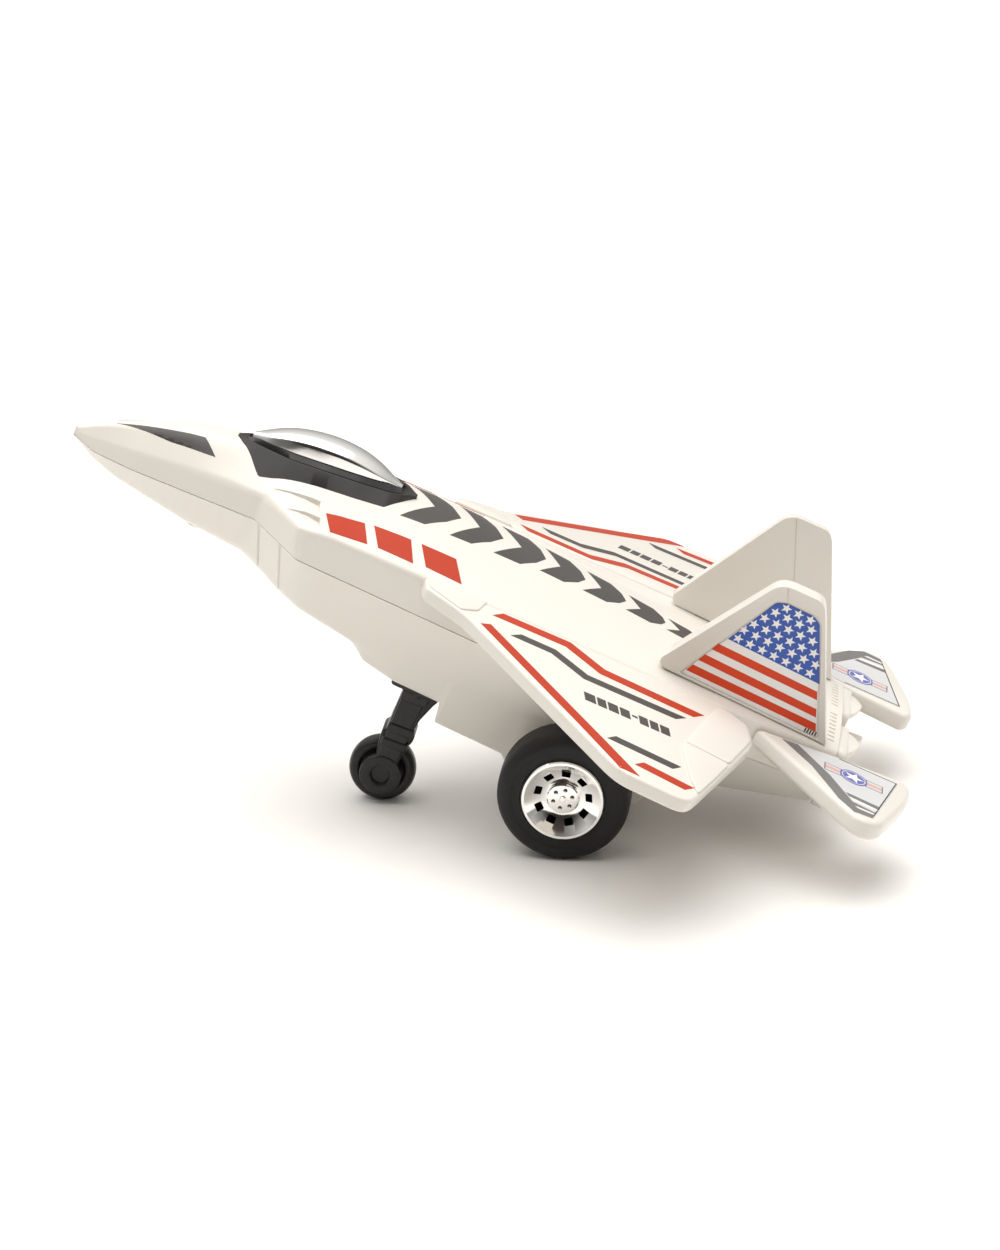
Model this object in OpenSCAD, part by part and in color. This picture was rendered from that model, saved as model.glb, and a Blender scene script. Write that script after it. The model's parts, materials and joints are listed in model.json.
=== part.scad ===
// Friction-drive toy jet fighter, standing on its own wheels with the nose up.
// Row frame: +X towards the nose, +Y to port, +Z up, origin on the ground under the
// middle of the whole toy. Airframe frame (u, v, w): u forward, v to port, w up,
// origin at the middle of the main axle, tilted nose_up about the axle.

/* [Stance] */
// Angle of the airframe above the ground, degrees
nose_up = 23; // [22:0.5:24]
// Radius of the main tyres
tyre_r = 15; // [14.5:0.1:15.4]
// Radius of the nose wheel
nose_wheel_r = 7.8; // [7.2:0.1:8.2]

/* [Fuselage] */
// Wall of the moulded shells
wall = 1.5; // [1.3:0.1:1.5]
// Nose tip, ahead of the main axle
nose_u = 133.5; // [132:0.5:136]
// Half width of the shoulders
shoulder_v = 26; // [25.8:0.1:26.4]
// Half width of the belly and the motor pod
belly_v = 12; // [11.9:0.1:12.6]

/* [Wings and tail] */
// Half of the wing span
half_span = 74.5; // [73:0.5:77]
// Thickness of a wing panel
wing_t = 3.5; // [3:0.1:4]
// Droop of the wings below level, degrees
wing_droop = 4.9; // [4:0.1:5.5]
// Outward lean of the fins, degrees
fin_cant = 6; // [4:0.5:8]
// Thickness of a fin
fin_t = 3.6; // [3:0.1:4]
// Thickness of a tailplane
tailplane_t = 4.6; // [4:0.1:5]
// Thickness of a foil sticker
sticker_t = 0.12; // [0.1:0.01:0.15]

/* [Wheels and axles] */
// Radius of the steel main axle
axle_r = 1.25; // [1:0.05:1.4]
// Outer face of a hub, from the centreline
hub_face = 32.8; // [32.5:0.1:33.5]
// Radius of a hub where the tyre grips it
hub_r = 9.4; // [9:0.1:9.6]
// Width of a main tyre
tyre_w = 11.4; // [11:0.1:11.6]
// Number of windows in a hub
hub_windows = 9; // [6:1:10]
// Radial play of a running fit
play = 0.05; // [0.03:0.01:0.08]

/* [Friction motor] */
// Teeth on the axle gear and the idler wheel
wheel_teeth = 24; // [22:1:24]
// Teeth on the idler pinion and the flywheel pinion
pinion_teeth = 10; // [10:1:11]
// Radius of the flywheel
flywheel_r = 7; // [6:0.1:7]

/* [Hidden] */
$fn = 48;
eps = 0.02;
white = "#f4efe6";
charcoal = "#3e393c";
black = "#232224";
steel = "#b9bcc0";
chrome = "#dfe3e6";
nylon = "#e9e4d0";
foil = "#d9dce4";

// Lines of the fuselage along u, each with only the points that its shape needs
tail_u = -52;
nose_w = 20.8;
top_w = [[tail_u, 33.6], [-14, 35.8], [4, 37.5], [24, 39], [45, 39.8], [57, 39.9],
    [99, 36.9], [109, 34.5], [118.4, 31.2], [125.5, 28], [130.5, 25], [nose_u, 22.3]];
spine_v = [[tail_u, 10], [36, 9.5], [62, 9], [80, 7], [94, 5.5], [103, 4.6], [118.4, 2.6],
    [nose_u, 0.4]];
spine_drop = [[tail_u, 0.3], [0, 0.5], [62, 0.9], [94, 1], [118.4, 0.8], [nose_u, 0.2]];
chine_v = [[tail_u, 21], [-24, shoulder_v], [78, shoulder_v], [88, 14], [94, 12],
    [103, 9.4], [118.4, 5.6], [nose_u, 0.7]];
chine_w = [[tail_u, 32.6], [-24, 33.3], [71.4, 33.1], [78, 32], [88, 31.2], [103, 28.3],
    [118.4, 25.2], [nose_u, 21.8]];
part_v = [[tail_u, 21.5], [-24, shoulder_v], [76, shoulder_v], [88, 14], [103, 10.2],
    [118.4, 6.2], [127.8, 3], [nose_u, 0.8]];
part_w = [[tail_u, 24], [33, 23.9], [78, 24.9], [88, 24.9], [103, 22.9], [118.4, 20.9],
    [127.8, 20], [nose_u, 21.2]];
hull_v = [[tail_u, 16], [57.5, 16], [71.4, 19], [78, 17], [88, 7.5], [103, 5],
    [121, 2.4], [nose_u, 0.5]];
hull_w = [[tail_u, 18], [-32, 15], [-13, 9.5], [21, 9.4], [57.5, 8], [71.4, 11.4],
    [78, 13.2], [88, 14.4], [103, 14.4], [121, 16.4], [127.8, 18.2], [nose_u, 20.9]];
belly_half = [[tail_u, 13], [-32, belly_v], [52.9, belly_v], [57.5, 14.6], [71.4, 16],
    [78, 13], [88, 5], [103, 3], [121, 1.2], [nose_u, 0.3]];
belly_w = [[tail_u, 15.6], [-32, 9.4], [-22, 8], [-17, -3], [-13, -4.4], [-10.5, -9.4],
    [10.5, -9.4], [15.5, -4.5], [32.4, -4], [33, 0.9], [45, 1.3], [52.9, 2.9],
    [57.5, 7.8], [71.4, 10.5], [82, 12.6], [103, 13.4], [121, 15.6], [127.8, 17.8],
    [nose_u, nose_w]];
stations = [tail_u, -45, -38, -32, -28, -24, -22, -17, -13, -10.5, -5, 0, 5, 10.5, 15.5,
    24, 32.4, 33, 39, 45, 49, 52.9, 57.5, 62, 67, 71.4, 74.5, 78, 82, 85, 88, 91, 94, 99,
    103, 109, 114, 118.4, 121, 125.5, 127.8, 130.5, nose_u];
cavity_front_u = 108;
cavity_stations = concat([tail_u + wall], [for (u = stations) if (u > -50 && u < 108) u],
    [cavity_front_u]);

// Tail end of the tailplanes, which is the rearmost edge of the toy
tail_tip_u = -70.3;
tailplane_top_w = 32;
nose_x = nose_u * cos(nose_up) - nose_w * sin(nose_up);
tail_x = tail_tip_u * cos(nose_up) - tailplane_top_w * sin(nose_up);
axle_x = -(nose_x + tail_x) / 2;

// Undercarriage
nose_wheel_u = 38.4;
nose_wheel_w = (nose_wheel_r - tyre_r - nose_wheel_u * sin(nose_up)) / cos(nose_up);
nose_pin_r = 0.8;
nose_wheel_half = 2.6;
fork_inner_v = 3;
fork_outer_v = 5.6;
fork_boss_r = 4.85;

// Gear train, in the plane across the axle
gear_m = 0.5;
addendum = 0.8 * gear_m;
dedendum = 1.15 * gear_m;
backlash = 0.12;
centres = gear_m * (wheel_teeth + pinion_teeth) / 2;
idler_angle = 40;
flywheel_angle = 20;
idler_at = centres * [cos(idler_angle), sin(idler_angle)];
flywheel_at = idler_at + centres * [cos(flywheel_angle), sin(flywheel_angle)];
case_half = 10.3;
case_t = 1;
case_outline = [[-8.4, -5.9], [-5, -7.6], [5, -7.6], [14, -2.5], [24, -2.3], [24, 17.2],
    [-8.4, 17.2]];
case_inside = [[-7.4, -5], [-4.8, -6.6], [4.8, -6.6], [13.6, -1.6], [23, -1.3], [23, 16.2],
    [-7.4, 16.2]];
idler_pin_r = 0.75;
spindle_r = 0.75;

// Screws that close the shells: u, v of each
screw_r = 0.9;
screw_places = [[63, 9], [63, -9], [-38, 9], [-38, -9]];

// ---- frames and shared shapes ----

module airframe()
{
    translate([axle_x, 0, tyre_r]) rotate([0, -nose_up, 0]) children();
}

// side is 1 for port, -1 for starboard
module on_side(side)
{
    if (side > 0) children();
    else mirror([0, 1, 0]) children();
}

// A solid of revolution about the v axis: the profile is [radius, v]
module turned(at, profile)
{
    translate([at[0], 0, at[1]]) rotate([-90, 0, 0]) rotate_extrude($fn = 72)
        polygon(profile);
}

// A rod along v from v0 to v1
module rod(at, r, v0, v1)
{
    translate([at[0], v0, at[1]]) rotate([-90, 0, 0]) cylinder(r = r, h = v1 - v0);
}

// An outline in the u-w plane, extruded along v from v0 to v1
module side_plate(outline, v0, v1)
{
    translate([0, v1, 0]) rotate([90, 0, 0]) linear_extrude(v1 - v0) polygon(outline);
}

// Skin over rings of equal point counts: each ring runs anticlockwise seen from the nose
module loft(rings)
{
    n = len(rings[0]);
    last = len(rings) - 1;
    polyhedron(
        points = [for (ring = rings) for (p = ring) p],
        faces = concat(
            [[for (j = [0:n - 1]) j]],
            [for (i = [0:last - 1]) for (j = [0:n - 1])
                [i * n + j, (i + 1) * n + j, (i + 1) * n + (j + 1) % n]],
            [for (i = [0:last - 1]) for (j = [0:n - 1])
                [i * n + j, (i + 1) * n + (j + 1) % n, i * n + (j + 1) % n]],
            [[for (j = [n - 1:-1:0]) last * n + j]]
        )
    );
}

// ---- fuselage ----

// Section of the upper shell, drawn in by inset, from port round to starboard
function upper_ring(u, inset) =
    let (pv = lookup(u, part_v) - inset,
        pw = lookup(u, part_w) - (inset > 0 ? 1 : 0),
        cv = lookup(u, chine_v) - inset,
        cw = lookup(u, chine_w) - 0.7 * inset,
        sv = lookup(u, spine_v) - 0.2 * inset,
        top = lookup(u, top_w) - inset,
        sw = top - lookup(u, spine_drop),
        bv = 0.55 * sv,
        bw = top - 0.25 * lookup(u, spine_drop))
    [[u, pv, pw], [u, cv, cw], [u, sv, sw], [u, bv, bw], [u, 0, top],
        [u, -bv, bw], [u, -sv, sw], [u, -cv, cw], [u, -pv, pw]];

// The highest point of the belly within a wall's thickness, so that no wall gets thin
function belly_inside(u) =
    max(lookup(u - wall, belly_w), lookup(u, belly_w), lookup(u + wall, belly_w)) + wall;

// Section of the lower shell, from starboard round to port
function lower_ring(u, inset) =
    let (pv = lookup(u, part_v) - inset,
        pw = lookup(u, part_w) + (inset > 0 ? 1 : 0),
        hv = lookup(u, hull_v) - inset,
        bv = lookup(u, belly_half) - inset,
        bw = inset > 0 ? belly_inside(u) : lookup(u, belly_w),
        hw = max(lookup(u, hull_w) + 0.3 * inset, bw + 0.05))
    [[u, -pv, pw], [u, -hv, hw], [u, -bv, bw], [u, bv, bw], [u, hv, hw], [u, pv, pw]];

module upper_outside() { loft([for (u = stations) upper_ring(u, 0)]); }
module upper_cavity() { loft([for (u = cavity_stations) upper_ring(u, wall)]); }
module lower_outside() { loft([for (u = stations) lower_ring(u, 0)]); }
module lower_cavity() { loft([for (u = cavity_stations) lower_ring(u, wall)]); }

boss_top = 31;
boss_split = 23.6;
function screw_seat(p) = lookup(p[0], belly_w) + 2.6;
function boss_roof(p) = lookup(p[0], top_w) - lookup(p[0], spine_drop) - 1.1;

module upper_shell()
{
    color(white) airframe()
    {
        difference()
        {
            upper_outside();
            upper_cavity();
        }
        for (p = screw_places) translate([p[0], p[1], boss_split]) difference()
        {
            cylinder(r = 2.4, h = boss_roof(p) - boss_split);
            translate([0, 0, -eps]) cylinder(r = screw_r, h = boss_top - boss_split);
        }
    }
}

module lower_shell()
{
    color(white) airframe() difference()
    {
        union()
        {
            difference()
            {
                lower_outside();
                lower_cavity();
            }
            for (p = screw_places) translate([p[0], p[1], screw_seat(p) - 2])
                cylinder(r = 3, h = boss_split - 0.1 - screw_seat(p) + 2);
        }
        for (p = screw_places) translate([p[0], p[1], 0])
        {
            cylinder(r = screw_r + 0.2, h = 30);
            translate([0, 0, -1]) cylinder(r = 2.2, h = screw_seat(p) + 1);
        }
        rod([0, 0], axle_r + 0.4, -20, 20);
    }
}

module shell_screws()
{
    color(steel) airframe() for (p = screw_places) translate([p[0], p[1], screw_seat(p)])
    {
        translate([0, 0, -1.2]) difference()
        {
            cylinder(r = 1.9, h = 1.2);
            translate([-1.3, -0.25, -eps]) cube([2.6, 0.5, 0.6]);
            translate([-0.25, -1.3, -eps]) cube([0.5, 2.6, 0.6]);
        }
        cylinder(r = screw_r, h = boss_top - 1 - screw_seat(p));
    }
}

// ---- cockpit ----

canopy_half = [[60.5, 0.5], [62.5, 2.5], [66, 4.2], [71, 5.2], [78, 5.6], [86, 4.9],
    [92, 3.1], [95, 1.4], [96.2, 0.4]];
canopy_top = [[60.5, 41], [62.5, 42.3], [67, 44.2], [71, 45.1], [75.5, 45.5], [81, 45.1],
    [87, 43.8], [92, 41.5], [95, 39.4], [96.2, 38.2]];
canopy_stations = [60.5, 61.5, 62.5, 64, 66, 68.5, 71, 74, 78, 82, 86, 89, 92, 94, 95, 96.2];

// Half section of the canopy as fractions of its half width and its rise, foot to crown
canopy_arch = [[1, 0], [0.98, 0.4], [0.93, 0.72], [0.8, 0.84], [0.5, 0.95], [0.25, 0.99]];

// Steep-sided, round-topped section of the canopy, grown by extra, standing on the spine
function canopy_ring(u, extra) =
    let (base = lookup(u, top_w) + eps - extra,
        half = lookup(u, canopy_half) + extra,
        rise = lookup(u, canopy_top) + extra - base)
    concat([for (p = canopy_arch) [u, half * p[0], base + rise * p[1]]], [[u, 0, base + rise]],
        [for (k = [len(canopy_arch) - 1:-1:0])
            [u, -half * canopy_arch[k][0], base + rise * canopy_arch[k][1]]]);

module canopy_solid(extra) { loft([for (u = canopy_stations) canopy_ring(u, extra)]); }

module canopy()
{
    color(chrome) airframe() canopy_solid(0);
}

frame_half = [[56.5, 0.4], [59, 4.5], [62.5, 9.6], [70, 10], [91, 9.9], [94.5, 6], [97.5, 3],
    [99, 0.6]];
frame_ridge_v = [[56.5, 0.3], [59, 3.2], [62.5, 5.4], [70, 6.9], [78, 7.4], [86, 6.6],
    [94.5, 3.4], [97.5, 1.6], [99, 0.4]];
frame_ridge_w = [[56.5, 40.6], [59, 41], [62.5, 40.8], [70, 40.5], [78, 39.9], [86, 38.9],
    [94.5, 37.9], [97.5, 37.4], [99, 37]];
frame_stations = [56.5, 59, 62.5, 66, 70, 74, 78, 82, 86, 91, 94.5, 97.5, 99];

// Section of the saddle round the canopy, from port foot over both ridges to starboard
function frame_ring(u) =
    let (fv = lookup(u, frame_half),
        rv = lookup(u, frame_ridge_v),
        rw = lookup(u, frame_ridge_w),
        depth = lookup(u, top_w) - 3 - 5 * (fv > 9 ? 1 : 0))
    [[u, fv, depth], [u, rv, rw], [u, -rv, rw], [u, -fv, depth]];

module cockpit_frame()
{
    color(charcoal) airframe() difference()
    {
        loft([for (u = frame_stations) frame_ring(u)]);
        upper_outside();
        canopy_solid(0.15);
    }
}

// ---- wings ----

wing_root_w = 33.5;
flap_rise = 0.5;
wing_outline = [[48, 0], [47, 4.6], [37.5, 9], [35.2, 10.8], [-3, 45.9], [-6.4, 47.6],
    [-19.5, half_span - shoulder_v], [-21.8, 46.6], [-32.5, 11], [-30.4, 3.4], [-24, 0]];
flap_outline = [[-22.2, 2.6], [-16, 24.4], [-20, 39], [-22.4, 44], [-31.6, 11.2],
    [-29.8, 4.4], [-24.4, 1.4]];

// Local axes of a wing: x forward, y outboard along the drooping panel, top face at z = 0
module on_wing(side)
{
    on_side(side) translate([0, shoulder_v + 0.1, wing_root_w]) rotate([-wing_droop, 0, 0])
        children();
}

module wing(side)
{
    color(white) airframe() difference()
    {
        on_wing(side)
        {
            translate([0, 0, -wing_t]) linear_extrude(wing_t) polygon(wing_outline);
            linear_extrude(flap_rise) polygon(flap_outline);
        }
        on_side(side) translate([-40, shoulder_v - 1, wing_root_w - 2 * wing_t])
            cube([100, 1 + eps, 3 * wing_t]);
    }
}

// ---- fins ----

fin_root_v = 21.2;
fin_root_w = 33;
fin_outline = [[-48.7, 0], [-34.9, 30.6], [-33.4, 32], [-25.4, 32.1], [-23, 30.8],
    [-6.9, 3.2], [-8, 1.6]];
fin_recess = [[-46.9, 0.4], [-35.6, 27.2], [-33.6, 28.5], [-26.6, 28.7], [-24.3, 27.9],
    [-11.9, 1.9]];
fin_sticker_outline = [[-46.3, 0.7], [-35.3, 26.6], [-33.4, 27.8], [-26.9, 28.1],
    [-24.6, 27.2], [-12.7, 2.2]];
recess_depth = 0.5;

// Local frame of a fin: x forward, z up along the lean, y outward from the outer face
module on_fin(side)
{
    on_side(side) translate([0, fin_root_v, fin_root_w]) rotate([-fin_cant, 0, 0]) children();
}

module fin(side)
{
    color(white) airframe() on_fin(side) difference()
    {
        side_plate(fin_outline, -fin_t, 0);
        side_plate(fin_recess, -recess_depth, eps);
    }
}

module fin_sticker(side)
{
    color(foil) airframe() on_fin(side)
        side_plate(fin_sticker_outline, -recess_depth, -recess_depth + sticker_t);
}

// ---- tailplanes ----

tailplane_outline = [[-32.6, 25.1], [-55.2, 48], [-58.2, 50.4], [-61.4, 50.6], [-64.2, 48],
    [-69.5, 31], [tail_tip_u, 26], [tail_tip_u, 21.6], [-68.8, 19.6], [-52, 21.8]];
tailplane_sticker_outline = [[-38.8, 25.8], [-46.4, 33.6], [-53, 44.4], [-57, 48.2], [-61.4, 47.6],
    [-66.9, 22.9], [-52.4, 22.9]];

module tailplane(side)
{
    color(white) airframe() on_side(side) translate([0, 0, tailplane_top_w - tailplane_t])
        linear_extrude(tailplane_t) polygon(tailplane_outline);
}

module tailplane_sticker(side)
{
    color(foil) airframe() on_side(side) translate([0, 0, tailplane_top_w])
        linear_extrude(sticker_t) polygon(tailplane_sticker_outline);
}

// ---- exhaust nozzles ----

nozzle_v = 11.6;
nozzle_half = 8.6;
nozzle_floor = 17.5;
nozzle_roof = 32.8;

// One petal, pointing aft, between u = tail_u and its tip
module petal(tip_u, tip_w, root_w, t)
{
    hull()
    {
        translate([tail_u - 1, -nozzle_half, root_w]) cube([1, 2 * nozzle_half, t]);
        translate([tail_u - 2.4, -nozzle_half + 0.6, root_w]) cube([0.4, 2 * nozzle_half - 1.2, t]);
        translate([tip_u, -1.2, tip_w]) cube([0.4, 2.4, t * 0.8]);
    }
}

module exhaust_nozzles()
{
    color(white) airframe() for (side = [-1, 1]) translate([0, side * nozzle_v, 0])
    {
        petal(-57, 31.3, nozzle_roof - 1.6, 1.6);
        petal(-60.5, 24.4, nozzle_floor, 1.8);
        for (edge = [-1, 1]) translate([tail_u - 2.6, edge * (nozzle_half - 0.8) - 0.8, nozzle_floor])
            cube([2.58, 1.6, nozzle_roof - nozzle_floor - 0.2]);
        translate([tail_u - 0.8, -nozzle_half, nozzle_floor])
            cube([0.78, 2 * nozzle_half, nozzle_roof - nozzle_floor - 0.2]);
    }
}

// ---- nose gear ----

strut_side = [[34, 0.9], [44.6, 1.25], [45.2, 0], [44.6, -1.6], [41.6, -2.6], [41.4, -13.5],
    [42.2, -14.2], [41.8, -17.5], [41.2, -20.5], [35.6, -20.5], [35.4, -16], [34.6, -14.4],
    [34.6, -12.6], [35.4, -11.8], [35.2, -8.6], [33.6, -3.6], [33, -2.4]];

module nose_gear_strut()
{
    color(black) airframe() difference()
    {
        union()
        {
            side_plate(strut_side, -fork_outer_v, fork_outer_v);
            translate([33.4, -7, -1.6]) cube([11.4, 14, 2.45]);
            rod([nose_wheel_u, nose_wheel_w], fork_boss_r, -fork_outer_v, fork_outer_v);
        }
        rod([nose_wheel_u, nose_wheel_w], nose_wheel_r + 0.7, -fork_inner_v, fork_inner_v);
        rod([nose_wheel_u, nose_wheel_w], nose_pin_r, -8, 8);
        for (s = [-1, 1]) rod([nose_wheel_u, nose_wheel_w], 2.1, s * 5.1 - 0.5, s * 5.1 + 0.5);
    }
}

module nose_wheel()
{
    color(black) airframe() turned([nose_wheel_u, nose_wheel_w],
        [[nose_pin_r + play, -nose_wheel_half], [2.4, -nose_wheel_half], [2.6, -2],
            [5.2, -2], [5.6, -2.4], [6.8, -2.5], [nose_wheel_r - 0.3, -2], [nose_wheel_r, -1.2],
            [nose_wheel_r, 1.2], [nose_wheel_r - 0.3, 2], [6.8, 2.5], [5.6, 2.4],
            [5.2, 2], [2.6, 2], [2.4, nose_wheel_half], [nose_pin_r + play, nose_wheel_half]]);
}

module nose_wheel_pin()
{
    color(steel) airframe() rod([nose_wheel_u, nose_wheel_w], nose_pin_r, -4.6, 4.6);
}

// ---- main wheels ----

module main_axle()
{
    color(steel) airframe() rod([0, 0], axle_r, -hub_face + 1.6, hub_face - 1.6);
}

hub_back = 21.6;
module hub(side)
{
    color(chrome) airframe() on_side(side) difference()
    {
        turned([0, 0], [[axle_r, hub_back], [3, hub_back], [3, 26.4], [hub_r - 1, 29.4],
            [hub_r - 1, hub_back], [hub_r, hub_back], [hub_r, hub_face - 0.3],
            [hub_r - 0.3, hub_face], [hub_r - 0.9, hub_face], [hub_r - 1.4, 31.9], [4, 30.4],
            [3.7, 30.4], [3.6, 31.3], [3.2, 31.6], [0, 31.6], [0, 31.25], [axle_r, 31.25]]);
        for (k = [0:hub_windows - 1]) rotate([0, k * 360 / hub_windows + 12, 0])
            translate([-0.9, 24, 5]) cube([1.8, 9, 1.9]);
        for (k = [0:5]) rotate([0, 60 * k, 0]) rod([0, 2.2], 0.4, 31.4, 33);
    }
}

module tyre(side)
{
    tyre_out = hub_face - 0.5;
    tyre_in = tyre_out - tyre_w;
    color(black) airframe() on_side(side) turned([0, 0],
        [[hub_r, tyre_in + 0.6], [hub_r + 0.5, tyre_in], [12.6, tyre_in], [14, tyre_in + 0.5],
            [14.8, tyre_in + 1.6], [tyre_r, tyre_in + 3], [tyre_r, tyre_out - 3],
            [14.8, tyre_out - 1.6], [14, tyre_out - 0.5], [12.6, tyre_out],
            [hub_r + 0.5, tyre_out], [hub_r, tyre_out - 0.5]]);
}

// ---- friction motor ----

// Involute of a circle of radius rb at roll angle t degrees
function involute(rb, t) = rb * [cos(t) + t * PI / 180 * sin(t), sin(t) - t * PI / 180 * cos(t)];
function roll_at(rb, r) = sqrt(max(pow(r / rb, 2) - 1, 0)) * 180 / PI;
function turn(p, a) = [p[0] * cos(a) - p[1] * sin(a), p[0] * sin(a) + p[1] * cos(a)];

// Outline of a spur gear with a tooth centred on the x axis
function gear_outline(teeth) =
    let (rp = gear_m * teeth / 2,
        rb = rp * cos(20),
        ra = rp + addendum,
        rf = rp - dedendum,
        inv_p = roll_at(rb, rp) - atan(roll_at(rb, rp) * PI / 180),
        half = 90 / teeth - backlash / 2 / rp * 180 / PI + inv_p,
        start = roll_at(rb, max(rf, rb)),
        flank = [for (i = [0:3]) involute(rb, start + (roll_at(rb, ra) - start) * i / 3)])
    [for (k = [0:teeth - 1]) let (a = 360 * k / teeth)
        each concat(
            [turn([rf, 0], a - 180 / teeth + 0.3 * 90 / teeth), turn([rf, 0], a - half)],
            [for (p = flank) turn(p, a - half)],
            [for (i = [3:-1:0]) turn([flank[i][0], -flank[i][1]], a + half)],
            [turn([rf, 0], a + half)]
        )];

// A gear about the v axis at a place in the u-w plane, with a tooth at angle a
module gear(teeth, at, a, v0, v1)
{
    translate([at[0], v1, at[1]]) rotate([90, 0, 0]) rotate([0, 0, a])
        linear_extrude(v1 - v0) polygon(gear_outline(teeth));
}

// The gap of a pinion that faces back along angle a
function gap_angle(teeth, a) = a + 180 + 180 / teeth;

module axle_gear()
{
    color(nylon) airframe() difference()
    {
        union()
        {
            gear(wheel_teeth, [0, 0], idler_angle, 2, 5);
            rod([0, 0], 2.4, 5, 8.6);
        }
        rod([0, 0], axle_r, 0, 10);
    }
}

module idler_gear()
{
    color(nylon) airframe() difference()
    {
        union()
        {
            gear(pinion_teeth, idler_at, gap_angle(pinion_teeth, idler_angle), 0.9, 5.2);
            gear(wheel_teeth, idler_at, flywheel_angle, -1.5, 1);
        }
        rod(idler_at, idler_pin_r + play, -4, 8);
    }
}

module idler_pin()
{
    color(steel) airframe() rod(idler_at, idler_pin_r, -case_half + 0.2, case_half - 0.2);
}

module flywheel()
{
    color(steel) airframe()
    {
        rod(flywheel_at, flywheel_r, -8.4, -3);
        rod(flywheel_at, spindle_r, -case_half + 0.2, case_half - 0.2);
    }
}

module flywheel_pinion()
{
    color(nylon) airframe() difference()
    {
        gear(pinion_teeth, flywheel_at, gap_angle(pinion_teeth, flywheel_angle), -1.7, 1.2);
        rod(flywheel_at, spindle_r, -4, 4);
    }
}

module motor_case(side)
{
    color(nylon) airframe() on_side(side) difference()
    {
        side_plate(case_outline, 0, case_half);
        side_plate(case_inside, -1, case_half - case_t);
        rod([0, 0], axle_r + play, 5, 12);
        rod(idler_at, idler_pin_r, 5, 12);
        rod(flywheel_at, spindle_r + play, 5, 12);
    }
}

upper_shell();
lower_shell();
cockpit_frame();
canopy();
wing(1);  // left_wing
wing(-1);  // right_wing
fin(1);  // left_fin
fin(-1);  // right_fin
fin_sticker(1);  // left_fin_sticker
fin_sticker(-1);  // right_fin_sticker
tailplane(1);  // left_tailplane
tailplane(-1);  // right_tailplane
tailplane_sticker(1);  // left_tailplane_sticker
tailplane_sticker(-1);  // right_tailplane_sticker
exhaust_nozzles();
shell_screws();
nose_gear_strut();
nose_wheel();
nose_wheel_pin();
main_axle();
hub(1);  // left_hub
hub(-1);  // right_hub
tyre(1);  // left_tyre
tyre(-1);  // right_tyre
motor_case(1);  // motor_case_left
motor_case(-1);  // motor_case_right
axle_gear();
idler_gear();
idler_pin();
flywheel();
flywheel_pinion();
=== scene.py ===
import json
import math

import bmesh
import bpy
import numpy as np
from mathutils import Matrix, Vector
from mathutils.bvhtree import BVHTree


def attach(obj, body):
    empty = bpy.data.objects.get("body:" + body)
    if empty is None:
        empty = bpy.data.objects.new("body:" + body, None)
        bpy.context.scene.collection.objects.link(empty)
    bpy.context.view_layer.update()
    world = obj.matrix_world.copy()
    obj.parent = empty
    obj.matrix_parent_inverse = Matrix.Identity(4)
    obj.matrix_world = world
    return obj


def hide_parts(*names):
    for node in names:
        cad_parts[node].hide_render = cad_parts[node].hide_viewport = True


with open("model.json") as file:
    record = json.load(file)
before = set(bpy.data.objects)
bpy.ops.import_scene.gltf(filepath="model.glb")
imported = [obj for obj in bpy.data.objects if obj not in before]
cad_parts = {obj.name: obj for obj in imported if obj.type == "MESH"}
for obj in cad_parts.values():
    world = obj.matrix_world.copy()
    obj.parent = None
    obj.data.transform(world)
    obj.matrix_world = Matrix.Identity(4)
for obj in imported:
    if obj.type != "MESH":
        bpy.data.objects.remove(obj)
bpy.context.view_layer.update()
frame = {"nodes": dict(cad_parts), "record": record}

# The toy is built in the airframe's own axes, in millimetres: u forward, v to port, w up,
# from the middle of the main axle. AIR turns such a point into the row frame in metres.
MM = 0.001
RECORD = frame["record"]
JOINTS = {joint["name"]: joint for joint in RECORD["behaviour"]["joints"]}
BELLY = RECORD["mounts"][0]
NOSE_UP = math.asin(BELLY["axis"][0])
AXLE = Vector(JOINTS["main_wheel_spin"]["pos_m"])
AIR = Matrix.Translation(AXLE) @ Matrix.Rotation(-NOSE_UP, 4, "Y") @ Matrix.Scale(MM, 4)
TO_AIR = AIR.inverted()

TAIL_U = -52.0
NOSE_U = 133.5
SHOULDER_V = 26.0
BELLY_V = 12.0
WALL = 1.5


# ---------------------------------------------------------------- mesh helpers

def new_object(name, mesh):
    obj = bpy.data.objects.new(name, mesh)
    bpy.context.scene.collection.objects.link(obj)
    return obj


def mesh_from(name, points, faces):
    """Object from points in airframe millimetres and faces, with outward normals."""
    bm = bmesh.new()
    verts = [bm.verts.new(AIR @ Vector(p)) for p in points]
    for face in faces:
        bm.faces.new([verts[i] for i in face])
    bmesh.ops.remove_doubles(bm, verts=bm.verts, dist=1e-7)
    bmesh.ops.recalc_face_normals(bm, faces=bm.faces)
    mesh = bpy.data.meshes.new(name)
    bm.to_mesh(mesh)
    bm.free()
    return new_object(name, mesh)


def apply_modifiers(obj):
    depsgraph = bpy.context.evaluated_depsgraph_get()
    mesh = bpy.data.meshes.new_from_object(obj.evaluated_get(depsgraph))
    obj.modifiers.clear()
    obj.data = mesh
    return obj


def bevel(obj, width, segments=3, angle=35.0):
    """Rounds every edge sharper than angle by width millimetres."""
    mod = obj.modifiers.new("edges", "BEVEL")
    mod.width = width * MM
    mod.segments = segments
    mod.limit_method = "ANGLE"
    mod.angle_limit = math.radians(angle)
    mod.use_clamp_overlap = True
    mod.miter_outer = "MITER_ARC"
    return apply_modifiers(obj)


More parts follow.
